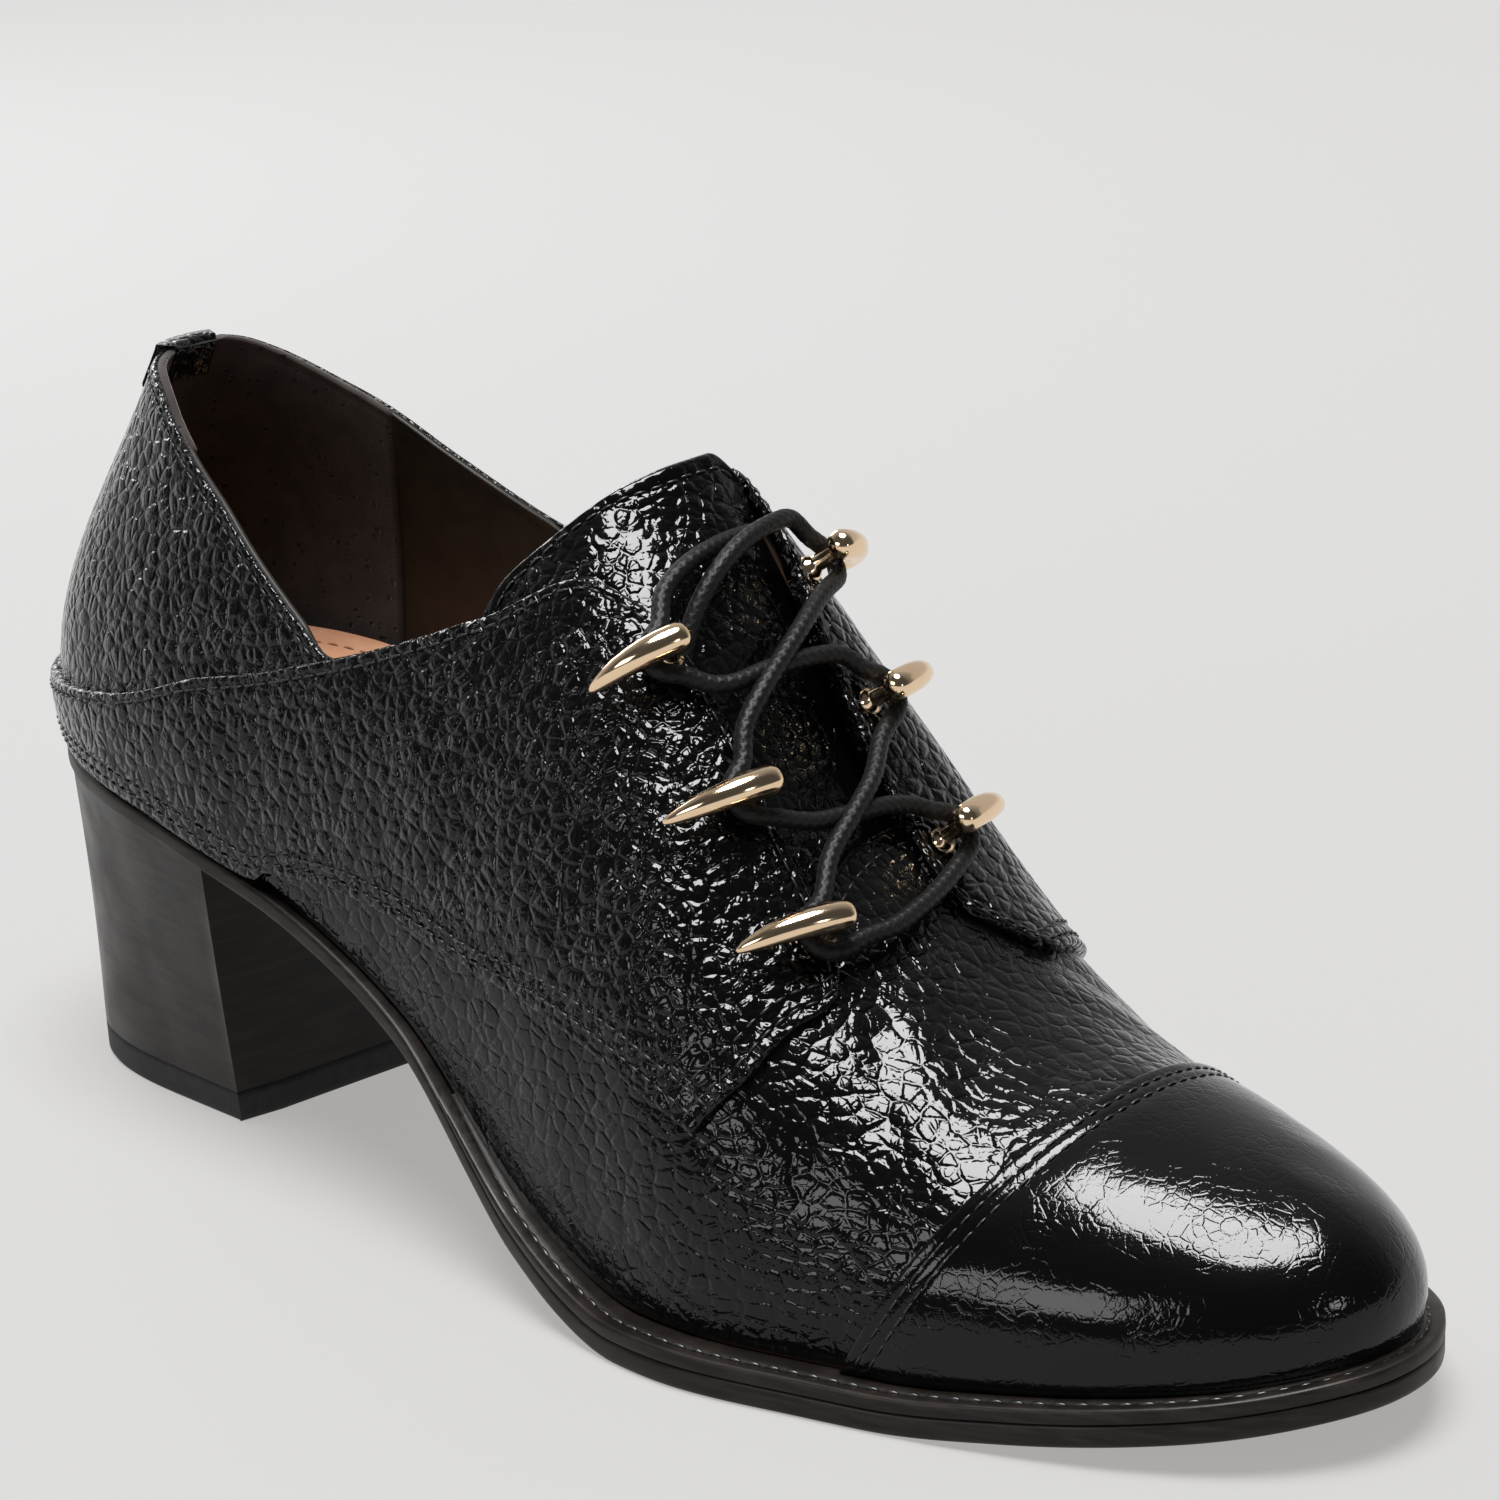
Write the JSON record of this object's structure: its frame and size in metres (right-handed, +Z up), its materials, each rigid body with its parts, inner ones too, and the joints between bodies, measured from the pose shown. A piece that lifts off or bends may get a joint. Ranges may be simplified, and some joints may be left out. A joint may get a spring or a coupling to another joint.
{
  "type": "block-heel lace-up shoe",
  "caption": "Right dress shoe in patent leather with a block heel, a toe cap, hook lacing over a wide tongue and a hollow foot space.",
  "frame": {"origin": "on the floor, at the middle of the shoe's length and width", "axes": "+X from heel to toe, +Y to the inner (medial) side of this right shoe, +Z up"},
  "size_m": [0.2508, 0.087, 0.1104],
  "materials": {
    "patent_leather": "black pebbled patent leather, high gloss",
    "sole_edge": "near-black stained leather edge, satin",
    "heel_stack": "near-black stacked leather, satin",
    "heel_lift": "black rubber, matt",
    "insole_leather": "tan vegetable-tanned leather, soft sheen",
    "gold_metal": "polished light gold",
    "waxed_lace": "waxed black braid"
  },
  "bodies": {
    "root": {"outsole": "sole_edge", "welt": "sole_edge", "heel_block": "heel_stack", "heel_top_lift": "heel_lift", "insole": "insole_leather", "upper": "patent_leather", "quarter_lateral": "patent_leather", "quarter_medial": "patent_leather", "toe_cap": "patent_leather", "tongue": "patent_leather", "back_tab": "patent_leather", "hook_lateral_1": "gold_metal", "hook_lateral_2": "gold_metal", "hook_lateral_3": "gold_metal", "hook_medial_1": "gold_metal", "hook_medial_2": "gold_metal", "hook_medial_3": "gold_metal", "lace": "waxed_lace"}
  },
  "joints": []
}
